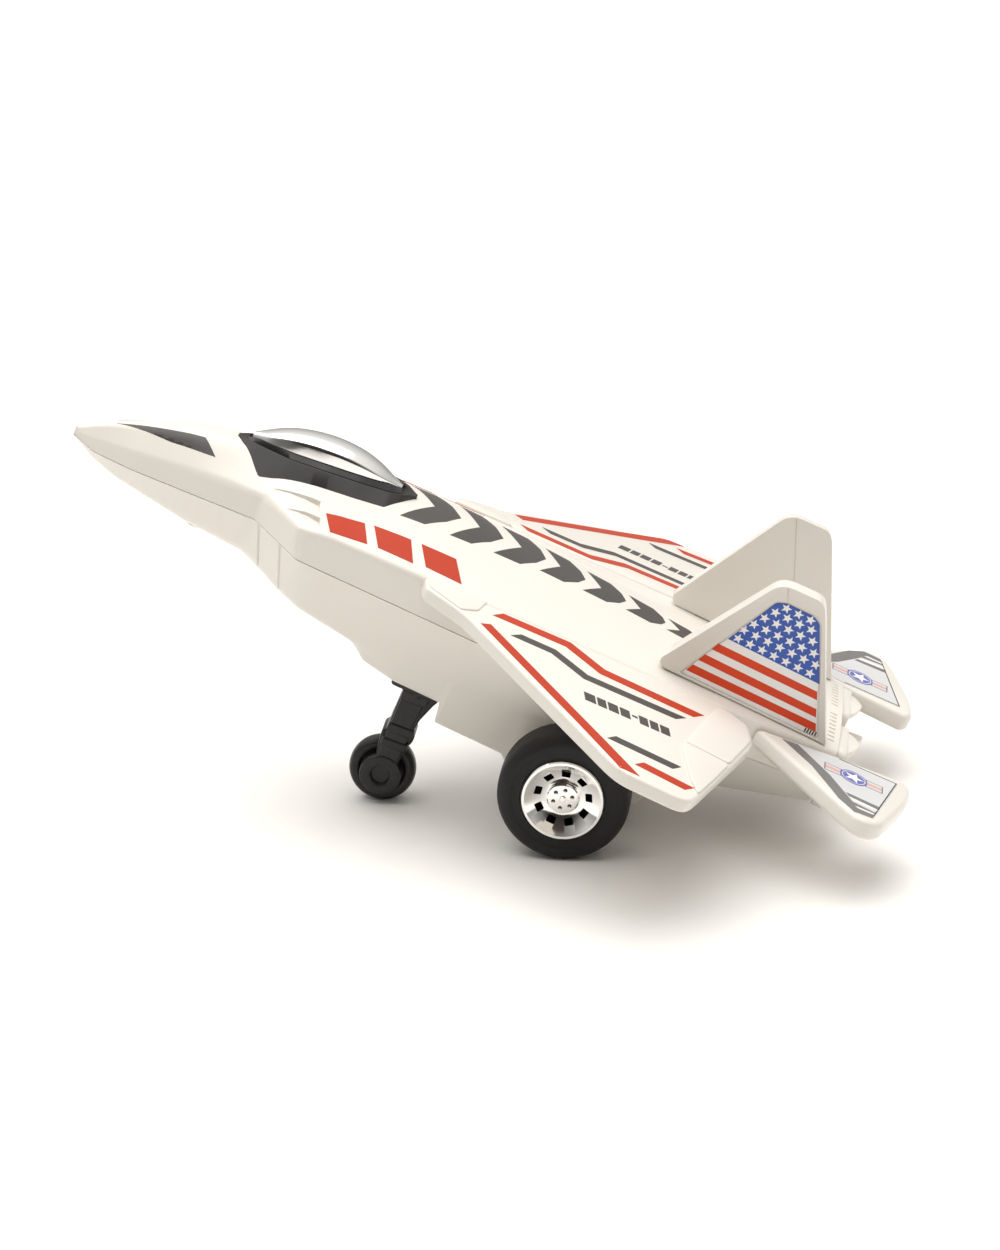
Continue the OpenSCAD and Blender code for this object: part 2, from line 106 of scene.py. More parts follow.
def triangulated(obj):
    """The same object with every face split into triangles, so that a cut sees no bent faces."""
    bm = bmesh.new()
    bm.from_mesh(obj.data)
    bmesh.ops.triangulate(bm, faces=bm.faces)
    bm.to_mesh(obj.data)
    bm.free()
    return obj


def cut(obj, cutters):
    """Takes the cutters out of obj and deletes them."""
    for cutter in cutters:
        mod = obj.modifiers.new("cut", "BOOLEAN")
        mod.operation = "DIFFERENCE"
        mod.solver = "EXACT"
        mod.object = cutter
        apply_modifiers(obj)
    for cutter in cutters:
        bpy.data.objects.remove(cutter)
    return obj


def join(objects):
    """One object out of several; material slots are merged by name."""
    first = objects[0]
    bm = bmesh.new()
    mats = []
    for obj in objects:
        offset = len(bm.faces)
        bm.from_mesh(obj.data)
        bm.faces.ensure_lookup_table()
        slots = list(obj.data.materials)
        for face in list(bm.faces)[offset:]:
            if not slots:
                continue
            mat = slots[face.material_index]
            if mat not in mats:
                mats.append(mat)
            face.material_index = mats.index(mat)
    mesh = bpy.data.meshes.new(first.name)
    bm.to_mesh(mesh)
    bm.free()
    for mat in mats:
        mesh.materials.append(mat)
    for obj in objects[1:]:
        bpy.data.objects.remove(obj)
    first.data = mesh
    return first


def finish_piece(obj, material, body, nodes=(), angle=32.0):
    """Shades, paints and mounts a piece on its body, in place of the CAD nodes it stands for."""
    mesh = obj.data
    mesh.polygons.foreach_set("use_smooth", [True] * len(mesh.polygons))
    mesh.set_sharp_from_angle(angle=math.radians(angle))
    if material is not None and not mesh.materials:
        mesh.materials.append(material)
    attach(obj, body)
    for node in nodes:
        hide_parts(node)
    return obj


# ---------------------------------------------------------------- outlines and sections

def fillet(points, radius, steps=4, closed=False):
    """Polyline with its corners rounded; radius is one number or one per point."""
    count = len(points)
    radii = [radius] * count if np.isscalar(radius) else radius
    out = []
    for i, p in enumerate(points):
        p = np.array(p, float)
        if (not closed and i in (0, count - 1)) or radii[i] <= 0:
            out.append(tuple(p))
            continue
        before = np.array(points[i - 1], float) - p
        after = np.array(points[(i + 1) % count], float) - p
        reach_a = min(radii[i], 0.45 * np.linalg.norm(before))
        reach_b = min(radii[i], 0.45 * np.linalg.norm(after))
        a = p + before / max(np.linalg.norm(before), 1e-9) * reach_a
        b = p + after / max(np.linalg.norm(after), 1e-9) * reach_b
        for t in np.linspace(0, 1, steps + 1):
            q = (1 - t) ** 2 * a + 2 * t * (1 - t) * p + t * t * b
            out.append(tuple(q))
    return out


def line(points, radius=1.5):
    """Value along u of a straight-sided line whose corners are eased over radius."""
    us, values = np.array(points, float).T
    spread = np.linspace(-1, 1, 9)
    weights = 1.05 - abs(spread)

    def value(u):
        return float(np.average(np.interp(u + spread * radius, us, values), weights=weights))
    return value


def loft(name, rings):
    """Skin over rings of 3-D points, closed at both ends."""
    n = len(rings[0])
    faces = []
    for i in range(len(rings) - 1):
        for j in range(n):
            k = (j + 1) % n
            faces.append((i * n + j, i * n + k, (i + 1) * n + k, (i + 1) * n + j))
    faces.append(tuple(range(n)))
    faces.append(tuple((len(rings) - 1) * n + j for j in range(n)))
    return mesh_from(name, [p for ring in rings for p in ring], faces)


def prism(name, outline, place, low, high):
    """Extrusion of a flat outline; place maps (x, y, height) to airframe millimetres."""
    n = len(outline)
    points = [place(x, y, low) for x, y in outline] + [place(x, y, high) for x, y in outline]
    faces = [tuple(range(n)), tuple(range(n, 2 * n))]
    faces += [(j, (j + 1) % n, n + (j + 1) % n, n + j) for j in range(n)]
    return mesh_from(name, points, faces)


def lathe(name, at, profile, steps=96, side=1):
    """Solid of revolution about the v axis through at = (u, w); profile is (radius, v)."""
    points = []
    index = []
    for r, v in profile:
        if r < 1e-6:
            index.append([len(points)] * steps)
            points.append((at[0], side * v, at[1]))
            continue
        index.append(list(range(len(points), len(points) + steps)))
        for k in range(steps):
            a = 2 * math.pi * k / steps
            points.append((at[0] + r * math.cos(a), side * v, at[1] + r * math.sin(a)))
    faces = []
    n = len(profile)
    for i in range(n):
        j = (i + 1) % n
        for k in range(steps):
            m = (k + 1) % steps
            quad = [index[i][k], index[i][m], index[j][m], index[j][k]]
            face = [q for q_i, q in enumerate(quad) if q not in quad[:q_i]]
            if len(face) > 2:
                faces.append(tuple(face))
    return mesh_from(name, points, faces)


def rounded(profile, radius, steps=3):
    """Profile of a lathe with its corners rounded, as a closed outline."""
    return fillet(profile, radius, steps, closed=True)


# ---------------------------------------------------------------- fuselage lines

TOP_W = line([(TAIL_U, 33.6), (-14, 35.8), (4, 37.5), (24, 39), (45, 39.8), (57, 39.9),
              (99, 36.9), (109, 34.5), (118.4, 31.2), (125.5, 28), (130.5, 25), (NOSE_U, 22.3)], 4)
SPINE_V = line([(TAIL_U, 10), (36, 9.5), (62, 9), (80, 7), (94, 5.5), (103, 4.6),
                (118.4, 2.6), (NOSE_U, 0.4)], 4)
SPINE_DROP = line([(TAIL_U, 0.3), (0, 0.5), (62, 0.9), (94, 1), (118.4, 0.8), (NOSE_U, 0.2)])
CHINE_V = line([(TAIL_U, 21), (-24, SHOULDER_V), (78, SHOULDER_V), (88, 14), (94, 12),
                (103, 9.4), (118.4, 5.6), (NOSE_U, 0.7)], 0.8)
CHINE_W = line([(TAIL_U, 32.6), (-24, 33.3), (71.4, 33.1), (78, 32), (88, 31.2), (103, 28.3),
                (118.4, 25.2), (NOSE_U, 21.8)], 1)
PART_V = line([(TAIL_U, 21.5), (-24, SHOULDER_V), (76, SHOULDER_V), (88, 14), (103, 10.2),
               (118.4, 6.2), (127.8, 3), (NOSE_U, 0.8)], 0.8)
PART_W = line([(TAIL_U, 24), (33, 23.9), (78, 24.9), (88, 24.9), (103, 22.9),
               (118.4, 20.9), (127.8, 20), (NOSE_U, 21.2)], 1)
HULL_V = line([(TAIL_U, 16), (57.5, 16), (71.4, 19), (78, 17), (88, 7.5), (103, 5),
               (121, 2.4), (NOSE_U, 0.5)], 1)
HULL_W = line([(TAIL_U, 18), (-32, 15), (-13, 9.5), (21, 9.4), (57.5, 8), (71.4, 11.4),
               (78, 13.2), (88, 14.4), (103, 14.4), (121, 16.4), (127.8, 18.2),
               (NOSE_U, 20.9)], 1)
BELLY_HALF = line([(TAIL_U, 13), (-32, BELLY_V), (52.9, BELLY_V), (57.5, 14.6), (71.4, 16),
                   (78, 13), (88, 5), (103, 3), (121, 1.2), (NOSE_U, 0.3)], 1)
BELLY_W = line([(TAIL_U, 15.6), (-32, 9.4), (-22, 8), (-17, -3), (-13, -4.4), (-10.5, -9.4),
                (10.5, -9.4), (15.5, -4.5), (32.4, -4), (33, 0.9), (45, 1.3), (52.9, 2.9),
                (57.5, 7.8), (71.4, 10.5), (82, 12.6), (103, 13.4), (121, 15.6),
                (127.8, 17.8), (NOSE_U, 20.8)], 0.35)
SEAM = 0.14


def stations():
    coarse = set(np.arange(TAIL_U, 128, 1.25)) | set(np.arange(128, NOSE_U, 0.4))
    fine = set(np.arange(30.5, 35, 0.25)) | set(np.arange(-18, -8, 0.5)) | set(np.arange(76, 90, 0.5))
    ends = {TAIL_U, NOSE_U - 0.15, NOSE_U}
    return sorted(round(u, 3) for u in coarse | fine | ends)


def inner_wall(outer, depth):
    """The same polyline moved inward (to its left) by depth."""
    pts = np.array(outer)
    tangent = np.gradient(pts, axis=0)
    normal = np.stack([-tangent[:, 1], tangent[:, 0]], 1)
    length = np.linalg.norm(normal, axis=1, keepdims=True)
    return pts + normal / np.maximum(length, 1e-9) * depth


def upper_section(u):
    top = TOP_W(u)
    seam = PART_W(u) + SEAM
    edge_v, edge_w, chine_v, chine_w = PART_V(u), seam, CHINE_V(u), CHINE_W(u)
    sv, sw = SPINE_V(u), top - SPINE_DROP(u)
    size = min(1.0, chine_v / 12)
    half = [(edge_v, edge_w), (chine_v, chine_w), (sv, sw), (0.5 * sv, top - 0.2 * SPINE_DROP(u))]
    corners = half + [(0, top)] + [(-v, w) for v, w in reversed(half)]
    radii = [0, 1.5 * size, 3 * size, 3 * size, 3 * size, 3 * size, 3 * size, 1.5 * size, 0]
    return fillet(corners, radii, 5)


def lower_section(u):
    bottom = BELLY_W(u)
    hull_w = max(HULL_W(u), bottom + 0.1)
    size = min(1.0, PART_V(u) / 12)
    half = [(-PART_V(u), PART_W(u) - SEAM), (-HULL_V(u), hull_w), (-BELLY_HALF(u), bottom)]
    corners = half + [(-v, w) for v, w in reversed(half)]
    radii = [0, 1.6 * size, 1.3 * size, 1.3 * size, 1.6 * size, 0]
    return fillet(corners, radii, 6)


def shell(name, section):
    rings = []
    for u in stations():
        outer = section(u)
        room = min(PART_V(u), TOP_W(u) - PART_W(u), PART_W(u) - BELLY_W(u))
        depth = min(WALL, max(0.28 * room, 0.02))
        inner = inner_wall(outer, depth)
        ring = list(outer) + [tuple(p) for p in reversed(inner)]
        rings.append([(u, v, w) for v, w in ring])
    return loft(name, rings)


def merge_pieces(name, parts, material, body, nodes=(), angle=32.0):
    """Joins parts of one moulding into one named piece."""
    whole = join(parts) if len(parts) > 1 else parts[0]
    whole.name = name
    return finish_piece(whole, material, body, nodes, angle)


def flat(x, y, z):
    return (x, y, z)


def rod(name, at, radius, v0, v1, steps=40, edge=0.2):
    """Pin along the v axis with rounded ends."""
    e = min(edge, radius * 0.6)
    profile = [(0, v0), (radius - e, v0), (radius, v0 + e), (radius, v1 - e), (radius - e, v1), (0, v1)]
    return lathe(name, at, profile, steps)


def upright(name, at, radius, w0, w1, steps=40):
    """Plain cylinder along w through (u, v)."""
    ring = [(at[0] + radius * math.cos(2 * math.pi * k / steps),
             at[1] + radius * math.sin(2 * math.pi * k / steps)) for k in range(steps)]
    return prism(name, ring, flat, w0, w1)


# ---------------------------------------------------------------- materials

def node_material(name):
    mat = bpy.data.materials.new(name)
    mat.use_nodes = True
    tree = mat.node_tree
    return mat, tree, tree.nodes["Principled BSDF"]


def add(tree, kind, **values):
    node = tree.nodes.new(kind)
    for key, value in values.items():
        if key in node.inputs:
            node.inputs[key].default_value = value
        else:
            setattr(node, key.lower(), value)
    return node


def moulded(name, colour, roughness, grain=0.02, tint=0.04, coat=0.0, scale=900.0, specular=0.5,
            metallic=0.0):
    """Moulded surface: slight colour drift, uneven gloss and a fine moulding grain."""
    mat, tree, shader = node_material(name)
    link = tree.links.new
    coords = add(tree, "ShaderNodeTexCoord")
    drift = add(tree, "ShaderNodeTexNoise", Scale=38.0, Detail=3.0, Roughness=0.55)
    link(coords.outputs["Object"], drift.inputs["Vector"])
    ramp = add(tree, "ShaderNodeValToRGB")
    low = [max(c * (1 - tint), 0) for c in colour]
    high = [min(c * (1 + tint * 0.5), 1) for c in colour]
    ramp.color_ramp.elements[0].position = 0.3
    ramp.color_ramp.elements[1].position = 0.7
    ramp.color_ramp.elements[0].color = (*low, 1)
    ramp.color_ramp.elements[1].color = (*high, 1)
    link(drift.outputs["Fac"], ramp.inputs["Fac"])
    link(ramp.outputs["Color"], shader.inputs["Base Color"])
    patches = add(tree, "ShaderNodeTexNoise", Scale=140.0, Detail=4.0, Roughness=0.6)
    link(coords.outputs["Object"], patches.inputs["Vector"])
    gloss = add(tree, "ShaderNodeMapRange")
    gloss.inputs["To Min"].default_value = max(roughness * 0.8, 0.02)
    gloss.inputs["To Max"].default_value = min(roughness * 1.25, 1)
    link(patches.outputs["Fac"], gloss.inputs["Value"])
    link(gloss.outputs["Result"], shader.inputs["Roughness"])
    fine = add(tree, "ShaderNodeTexNoise", Scale=scale, Detail=2.0, Roughness=0.5)
    link(coords.outputs["Object"], fine.inputs["Vector"])
    bump = add(tree, "ShaderNodeBump", Strength=grain, Distance=0.0002)
    link(fine.outputs["Fac"], bump.inputs["Height"])
    link(bump.outputs["Normal"], shader.inputs["Normal"])
    shader.inputs["Metallic"].default_value = metallic
    shader.inputs["Specular IOR Level"].default_value = specular
    if coat:
        shader.inputs["Coat Weight"].default_value = coat
        shader.inputs["Coat Roughness"].default_value = 0.06
    return mat


WHITE = moulded("white_abs", (0.745, 0.705, 0.645), 0.3, grain=0.02, tint=0.008, coat=0.15)
CHARCOAL = moulded("charcoal_abs", (0.036, 0.033, 0.033), 0.45, grain=0.06, tint=0.12, specular=0.25)
CHROME = moulded("vacuum_plating", (0.86, 0.85, 0.83), 0.1, grain=0.02, tint=0.02, metallic=1.0, scale=400)
BLACK = moulded("black_moulding", (0.012, 0.011, 0.0125), 0.34, grain=0.12, tint=0.2, specular=0.4)
RUBBER = moulded("tyre_rubber", (0.014, 0.0125, 0.0135), 0.55, grain=0.18, tint=0.2, scale=1600,
                 specular=0.3)
STEEL = moulded("bright_steel", (0.56, 0.56, 0.57), 0.25, grain=0.05, tint=0.08, metallic=1.0)
NYLON = moulded("natural_nylon", (0.72, 0.68, 0.58), 0.42, grain=0.06, tint=0.05)
RED_INK = moulded("red_ink", (0.47, 0.038, 0.009), 0.4, grain=0.04, tint=0.06, specular=0.25)
BLACK_INK = moulded("charcoal_ink", (0.056, 0.05, 0.046), 0.36, grain=0.04, tint=0.1)
# Fin-sticker red: the flag's own red, brighter than the print, and raised further as painted light to make up
# for the shade on the upright fins.
FIN_RED_WITH_PAINTED_LIGHT = moulded("fin_red_ink_with_painted_light", (0.72, 0.062, 0.016), 0.4, grain=0.04, tint=0.06, specular=0.25)
BLUE_INK = moulded("blue_ink", (0.02, 0.085, 0.42), 0.33, grain=0.03, tint=0.08)
VIOLET_INK = moulded("violet_ink", (0.12, 0.13, 0.42), 0.35, grain=0.03, tint=0.08)
PINK_INK = moulded("pale_red_ink", (0.72, 0.36, 0.33), 0.35, grain=0.03, tint=0.06)
GREY_INK = moulded("grey_ink", (0.175, 0.17, 0.168), 0.35, grain=0.03, tint=0.08)
FOIL_WHITE = moulded("foil_white", (0.88, 0.865, 0.85), 0.3, grain=0.03, tint=0.02, coat=0.4)
FOIL_GREY = moulded("foil_grey", (0.66, 0.66, 0.665), 0.3, grain=0.03, tint=0.02, coat=0.4)


# ---------------------------------------------------------------- fuselage

SCREWS = [(63, 9), (63, -9), (-38, 9), (-38, -9)]
AXLE_HOLE_R = 1.65


def scoop_cutter(inner, outer, side):
    """Cutter for a ramp scoop between two edges (u, v): flush at the front, deep at the rear."""
    rings = []
    for t in np.linspace(0, 1, 4):
        (ua, va), (ub, vb) = (np.array(edge[0]) * (1 - t) + np.array(edge[1]) * t
                              for edge in (inner, outer))
        depth = 0.12 + 1.0 * t
        low_a, low_b = surface_w(ua, va) - depth, surface_w(ub, vb) - depth
        rings.append([(ua, side * va, low_a), (ub, side * vb, low_b),
                      (ub, side * (vb + 0.5), low_b + 4), (ua, side * (va - 0.5), low_a + 4)])
    return triangulated(loft("scoop_cutter", rings))


def tail_plate(section):
    """Flat end that closes the rear of a shell."""
    return loft("tail_plate", [[(u, v * 0.985, w) for v, w in section] for u in (TAIL_U, TAIL_U + WALL)])


def nose_plug(section):
    """Solid tip that closes the front of a shell."""
    stations = (NOSE_U - 1.2, NOSE_U - 0.4, NOSE_U)
    return loft("nose_plug", [[(u, v, w) for v, w in section(u)] for u in stations])


def build_upper_shell():
    body = triangulated(shell("upper_moulding", upper_section))
    cutters = []
    for side in (1, -1):
        cutters.append(scoop_cutter([(86.8, 12.6), (75.9, 14.9)], [(85.4, 14.6), (75.2, 18.9)], side))
        cutters.append(scoop_cutter([(82.2, 19.0), (74.5, 20.6)], [(80.2, 21.4), (73.7, 23.2)], side))
    cut(body, cutters)
    parts = [body, tail_plate(upper_section(TAIL_U)), nose_plug(upper_section)]
    for v in [side * (2.8 + 2.0 * k) for k in range(8) for side in (1, -1)]:
        deck = surface_w(-49.8, v)
        outline = [(-50.6, v - 0.25), (-49, v - 0.25), (-49, v + 0.25), (-50.6, v + 0.25)]
        parts.append(prism("louvre", outline, flat, deck - 0.4, deck + 0.2))
    return merge_pieces("upper_fuselage", parts, WHITE, "airframe", ["upper_shell"])


def build_lower_shell():
    body = shell("lower_moulding", lower_section)
    cutters = [rod("axle_cutter", (0, 0), AXLE_HOLE_R, -20, 20)]
    for u, v in SCREWS:
        cutters.append(upright("screw_cutter", (u, v), 2.2, -2, BELLY_W(u) + 2.6))
    cut(body, cutters)
    parts = [body, tail_plate(lower_section(TAIL_U)), nose_plug(lower_section)]
    for u, v in SCREWS:
        seat = BELLY_W(u) + 2.6
        sleeve = lathe_up((u, v), [(1.1, seat - 2), (3, seat - 2), (3, 23.4), (1.1, 23.4)])
        cut(sleeve, [upright("counterbore", (u, v), 2.2, -2, seat)])
        parts.append(sleeve)
    for side in (1, -1):
        for u, size in ((86.6, 0.45), (80.4, 0.5)):
            parts.append(intake_rib(u, size, side))
    chin = lathe_up((100.5, 0), [(0, 12.4), (1.9, 12.4), (2.3, 12.8), (2.3, 15), (0, 15)])
    parts.append(chin)
    return merge_pieces("lower_fuselage", parts, WHITE, "airframe", ["lower_shell"])


def lathe_up(at, profile, steps=40):
    """Solid of revolution about the w axis through at = (u, v); profile is (radius, w)."""
    points = []
    index = []
    for r, w in profile:
        if r < 1e-6:
            index.append([len(points)] * steps)
            points.append((at[0], at[1], w))
            continue
        index.append(list(range(len(points), len(points) + steps)))
        for k in range(steps):
            a = 2 * math.pi * k / steps
            points.append((at[0] + r * math.cos(a), at[1] + r * math.sin(a), w))
    faces = []
    for i in range(len(profile)):
        j = (i + 1) % len(profile)
        for k in range(steps):
            m = (k + 1) % steps
            quad = [index[i][k], index[i][m], index[j][m], index[j][k]]
            face = [q for q_i, q in enumerate(quad) if q not in quad[:q_i]]
            if len(face) > 2:
                faces.append(tuple(face))
    return mesh_from("turned_part", points, faces)


def intake_rib(u, size, side):
    """Fine upright rib on the blanked intake, from the seam down and aft to the hull corner."""
    rings = []
    for t in np.linspace(0, 1, 12):
        at = u - 3.3 * t
        low = max(HULL_W(at), BELLY_W(at) + 0.1) + 0.4
        w = PART_W(at) - 0.3 + (low - PART_W(at) + 0.3) * t
        skin = sorted((b, a) for a, b in lower_section(at) if a > 0.6 * HULL_V(at))
        v = float(np.interp(w, [b for b, a in skin], [a for b, a in skin]))
        rings.append([(at - size, side * (v - 0.4), w), (at - 0.4 * size, side * (v + 0.32), w),
                      (at + 0.4 * size, side * (v + 0.32), w), (at + size, side * (v - 0.4), w)])
    return loft("intake_rib", rings)


# ---------------------------------------------------------------- cockpit

CANOPY_HALF = line([(60.5, 0.5), (62.5, 2.5), (66, 4.2), (71, 5.2), (78, 5.6), (86, 4.9), (92, 3.3),
                    (94.4, 2.1), (95.6, 0.9), (95.9, 0.4)], 3)
CANOPY_TOP = line([(60.5, 41), (62.5, 42.3), (67, 44.2), (71, 45.1), (75.5, 45.5), (81, 45.1),
                   (87, 43.8), (92, 41.5), (95, 39.4), (96.2, 38.2)], 5)
CANOPY_ARCH = [(1, 0), (0.98, 0.4), (0.93, 0.74), (0.84, 0.83), (0.5, 0.95), (0.25, 0.99)]
FRAME_HALF = line([(56.5, 0.4), (59, 4.5), (62.5, 9.6), (70, 10), (91, 9.9), (94.5, 6),
                   (97.5, 3), (99, 0.6)], 0.4)
RIDGE_V = line([(56.5, 0.3), (59, 3.2), (62.5, 5.4), (70, 6.9), (78, 7.4), (86, 6.6), (94.5, 3.4),
                (97.5, 1.6), (99, 0.4)], 0.8)
RIDGE_W = line([(56.5, 40.6), (59, 41), (62.5, 40.8), (70, 40.5), (78, 39.9), (86, 38.9),
                (94.5, 37.9), (97.5, 37.4), (99, 37)], 0.8)


def build_canopy():
    """Plated bubble: near-upright flanks, a tight shoulder and a broad flat crown."""
    rings = []
    for u in np.linspace(60.5, 95.9, 96):
        base = TOP_W(u) - 0.3
        rise = CANOPY_TOP(u) - base
        half = CANOPY_HALF(u)
        flank = [(half * a, base + rise * b) for a, b in CANOPY_ARCH]
        arch = flank + [(0, base + rise)] + [(-v, w) for v, w in reversed(flank)]
        size = half / 5.6
        radii = [0, 2 * size, 0.5 * size, 0.7 * size, 2 * size, 2 * size]
        rings.append([(u, v, w) for v, w in fillet(arch, radii + [2 * size] + radii[::-1], 5)])
    dome = loft("canopy_dome", rings)
    return merge_pieces("bubble_canopy", [dome], CHROME, "airframe", ["canopy"], 50)


def build_cockpit_frame():
    """Charcoal saddle: a steep outer band, a rounded ridge and a gutter round the canopy."""
    rings = []
    stations = [np.linspace(56.5, 64, 16), np.linspace(65, 90, 36), np.linspace(90.7, 99, 14)]
    for u in np.concatenate(stations):
        foot_v, ridge_v, ridge_w = FRAME_HALF(u), RIDGE_V(u), RIDGE_W(u)
        foot_w = surface_w(u, foot_v) + 0.02
        gutter_v = max(ridge_v - 0.9, 0.15)
        gutter_w = max(ridge_w - 1.3, TOP_W(u) + 0.15)
        half = [(foot_v, foot_w), (ridge_v, ridge_w), (gutter_v, gutter_w)]
        outer = half + [(-v, w) for v, w in reversed(half)]
        size = min(1.0, ridge_v / 3)
        outer = fillet(outer, [0, 0.5 * size, 0.3 * size, 0.3 * size, 0.5 * size, 0], 4)
        under = [(v, min(w, surface_w(u, abs(v))) - 0.6) for v, w in reversed(outer)]
        rings.append([(u, v, w) for v, w in outer + under])
    parts = [inked(loft("saddle", rings), CHARCOAL)]
    # A strip of black moulding on each side, from the ridge up to the canopy. The frame is dark plastic, and
    # the strip's deeper black is painted shade standing for the shadow in the gutter.
    for side in (1, -1):
        rings = []
        for u in np.linspace(60.2, 96.6, 56):
            inside = CANOPY_HALF(u) + 0.12
            ridge_v = max(RIDGE_V(u) - 0.35, inside + 0.4)
            low = RIDGE_W(u) - 0.7
            high = RIDGE_W(u) + 0.85 * min(1.0, inside / 2.5)
            section = [(ridge_v, low), (ridge_v, low + 0.55), (inside + 0.3, high),
                       (inside, high - 0.1), (inside - 0.5, low)]
            rings.append([(u, side * v, w) for v, w in section])
        parts.append(inked(loft("gutter_shade_strip", rings), BLACK))
    return merge_pieces("cockpit_surround", parts, None, "airframe", ["cockpit_frame"],
                        40)


def surface_w(u, v):
    """Height of the upper shell's skin at (u, v)."""
    section = np.array([p for p in upper_section(u) if p[0] >= -1e-6][::-1])
    return float(np.interp(abs(v), section[:, 0], section[:, 1]))


# ---------------------------------------------------------------- flying surfaces

WING_ROOT = (26.0, 33.5)
WING_T = 3.5
WING_DROOP = math.radians(4.9)
HALF_SPAN = 74.5
WING_OUTLINE = [(48, 0), (47, 4.6), (37.5, 9), (35.2, 10.8), (-3, 45.9), (-6.4, 47.6),
                (-19.5, HALF_SPAN - 26), (-21.8, 46.6), (-32.5, 11), (-30.4, 3.4), (-24, 0)]
FIN_ROOT = (21.2, 33.0)
FIN_T = 3.6
FIN_CANT = math.radians(6)
FIN_OUTLINE = [(-48.7, 0), (-34.9, 30.6), (-33.4, 32), (-25.4, 32.1), (-23, 30.8), (-6.9, 3.2), (-8, 1.6)]
FIN_RECESS = [(-46.9, 0.4), (-35.6, 27.2), (-33.6, 28.5), (-26.6, 28.7), (-24.3, 27.9), (-11.9, 1.9)]
FIN_STICKER = [(-46.3, 0.7), (-35.3, 26.6), (-33.4, 27.8), (-26.9, 28.1), (-24.6, 27.2), (-12.7, 2.2)]
RECESS_DEPTH = 0.5
FILM = 0.12
TAIL_TOP = 32.0
TAIL_T = 4.6
TAIL_STICKER = [(-38.8, 25.8), (-46.4, 33.6), (-53, 44.4), (-57, 48.2), (-61.4, 47.6), (-66.9, 22.9),
                (-52.4, 22.9)]
TAIL_OUTLINE = [(-32.6, 25.1), (-55.2, 48), (-58.2, 50.4), (-61.4, 50.6), (-64.2, 48), (-69.5, 31),
                (-70.3, 26), (-70.3, 21.6), (-68.8, 19.6), (-52, 21.8)]


def on_wing(side, gap=0.02):
    def place(x, y, z):
        c, s = math.cos(WING_DROOP), math.sin(WING_DROOP)
        return (x, side * (WING_ROOT[0] + gap + y * c + z * s), WING_ROOT[1] - y * s + z * c)
    return place


def on_fin(side):
    """x forward, y up along the leaning fin, z outward from its outer face."""
    def place(x, y, z):
        c, s = math.cos(FIN_CANT), math.sin(FIN_CANT)
        return (x, side * (FIN_ROOT[0] + z * c + y * s), FIN_ROOT[1] + y * c - z * s)
    return place


def on_tail(side):
    def place(x, y, z):
        return (x, side * y, TAIL_TOP + z)
    return place


def build_wing(side, name, node):
    place = on_wing(side)
    panel = bevel(prism("panel", fillet(WING_OUTLINE, [0, 1, 2, 1.5, 3, 2, 3, 3, 4, 2, 0], 4, True),
                        place, -WING_T, 0), 0.8, 4, 50)
    pads = []
    inner = [(-22.4, 2.6), (-17.2, 23.4), (-27.6, 25), (-31.4, 11.2), (-29.8, 4.4), (-24.4, 1.6)]
    outer = [(-17.3, 23.8), (-16.2, 25), (-20, 39), (-22.2, 43.6), (-27.6, 25.4)]
    for outline in (inner, outer):
        pads.append(bevel(prism("pad", fillet(outline, 1.2, 3, True), place, -1, 0.5), 0.3, 3, 50))
    outline = fillet([(47.6, -0.6), (46.6, 3.8), (38.2, 8), (34.6, 5.4), (33.2, -0.6)], 0.8, 3, True)
    glove = bevel(prism("glove", outline, place, -1.5, 0.35), 0.3, 3, 50)
    return merge_pieces(name, [panel] + pads + [glove], WHITE, "airframe", [node])


def build_fin(side, name, node):
    place = on_fin(side)
    blade = prism("blade", fillet(FIN_OUTLINE, [0, 1.5, 1.5, 1.5, 1.5, 1, 0.6], 4, True), place, -FIN_T, 0)
    recess = prism("recess", fillet(FIN_RECESS, 1.2, 4, True), place, -0.5, 1)
    hinge_in = prism("hinge", [(-38.3, 0), (-38.6, 0), (-25.2, 32.6), (-24.9, 32.6)], place,
                     -FIN_T - 1, -FIN_T + 0.18)
    hinge_out = prism("hinge", [(-26.8, 28), (-27.1, 28), (-25.2, 32.6), (-24.9, 32.6)], place, -0.2, 1)
    cut(blade, [recess, hinge_in, hinge_out])
    bevel(blade, 0.35, 3, 40)
    foot = prism("foot", [(-44, -1.0), (-44, 1), (-14, 3), (-14, -0.6)], place, -FIN_T + 0.7, -0.7)
    bevel(foot, 0.15, 2, 50)
    return merge_pieces(name, [blade, foot], WHITE, "airframe", [node])


def build_tailplane(side, name, node):
    place = on_tail(side)
    outline = fillet(TAIL_OUTLINE, [0, 2, 2, 2, 2, 3, 2, 1.5, 1.2, 0], 4, True)
    plate = prism("plate", outline, place, -TAIL_T, 0)
    bevel(plate, 1.3, 5, 50)
    return merge_pieces(name, [plate], WHITE, "airframe", [node])


# ---------------------------------------------------------------- exhaust

NOZZLE_V = 11.6
NOZZLE_HALF = 8.6
NOZZLE_FLOOR = 17.5
NOZZLE_ROOF = 32.8


def petal(tip_u, root_w, tip_w, thick, belly):
    """Tongue of a nozzle: wide at the tail plate, narrowing to a rounded tip."""
    rings = []
    for t in np.linspace(0, 1, 22):
        half = (NOZZLE_HALF - 0.2) * max(1 - t ** 1.5, 0.0) ** 0.8 + 0.35
        middle = root_w + (tip_w - root_w) * t ** 1.2
        bow = belly * (half / NOZZLE_HALF) ** 2
        across = np.linspace(-half, half, 17)
        top = [(v, middle + thick / 2 - bow * (v / half) ** 2) for v in across]
        under = [(v, w - thick) for v, w in reversed(top)]
        rings.append([(TAIL_U - 0.05 + (tip_u - TAIL_U) * t, v, w) for v, w in top + under])
    return rings


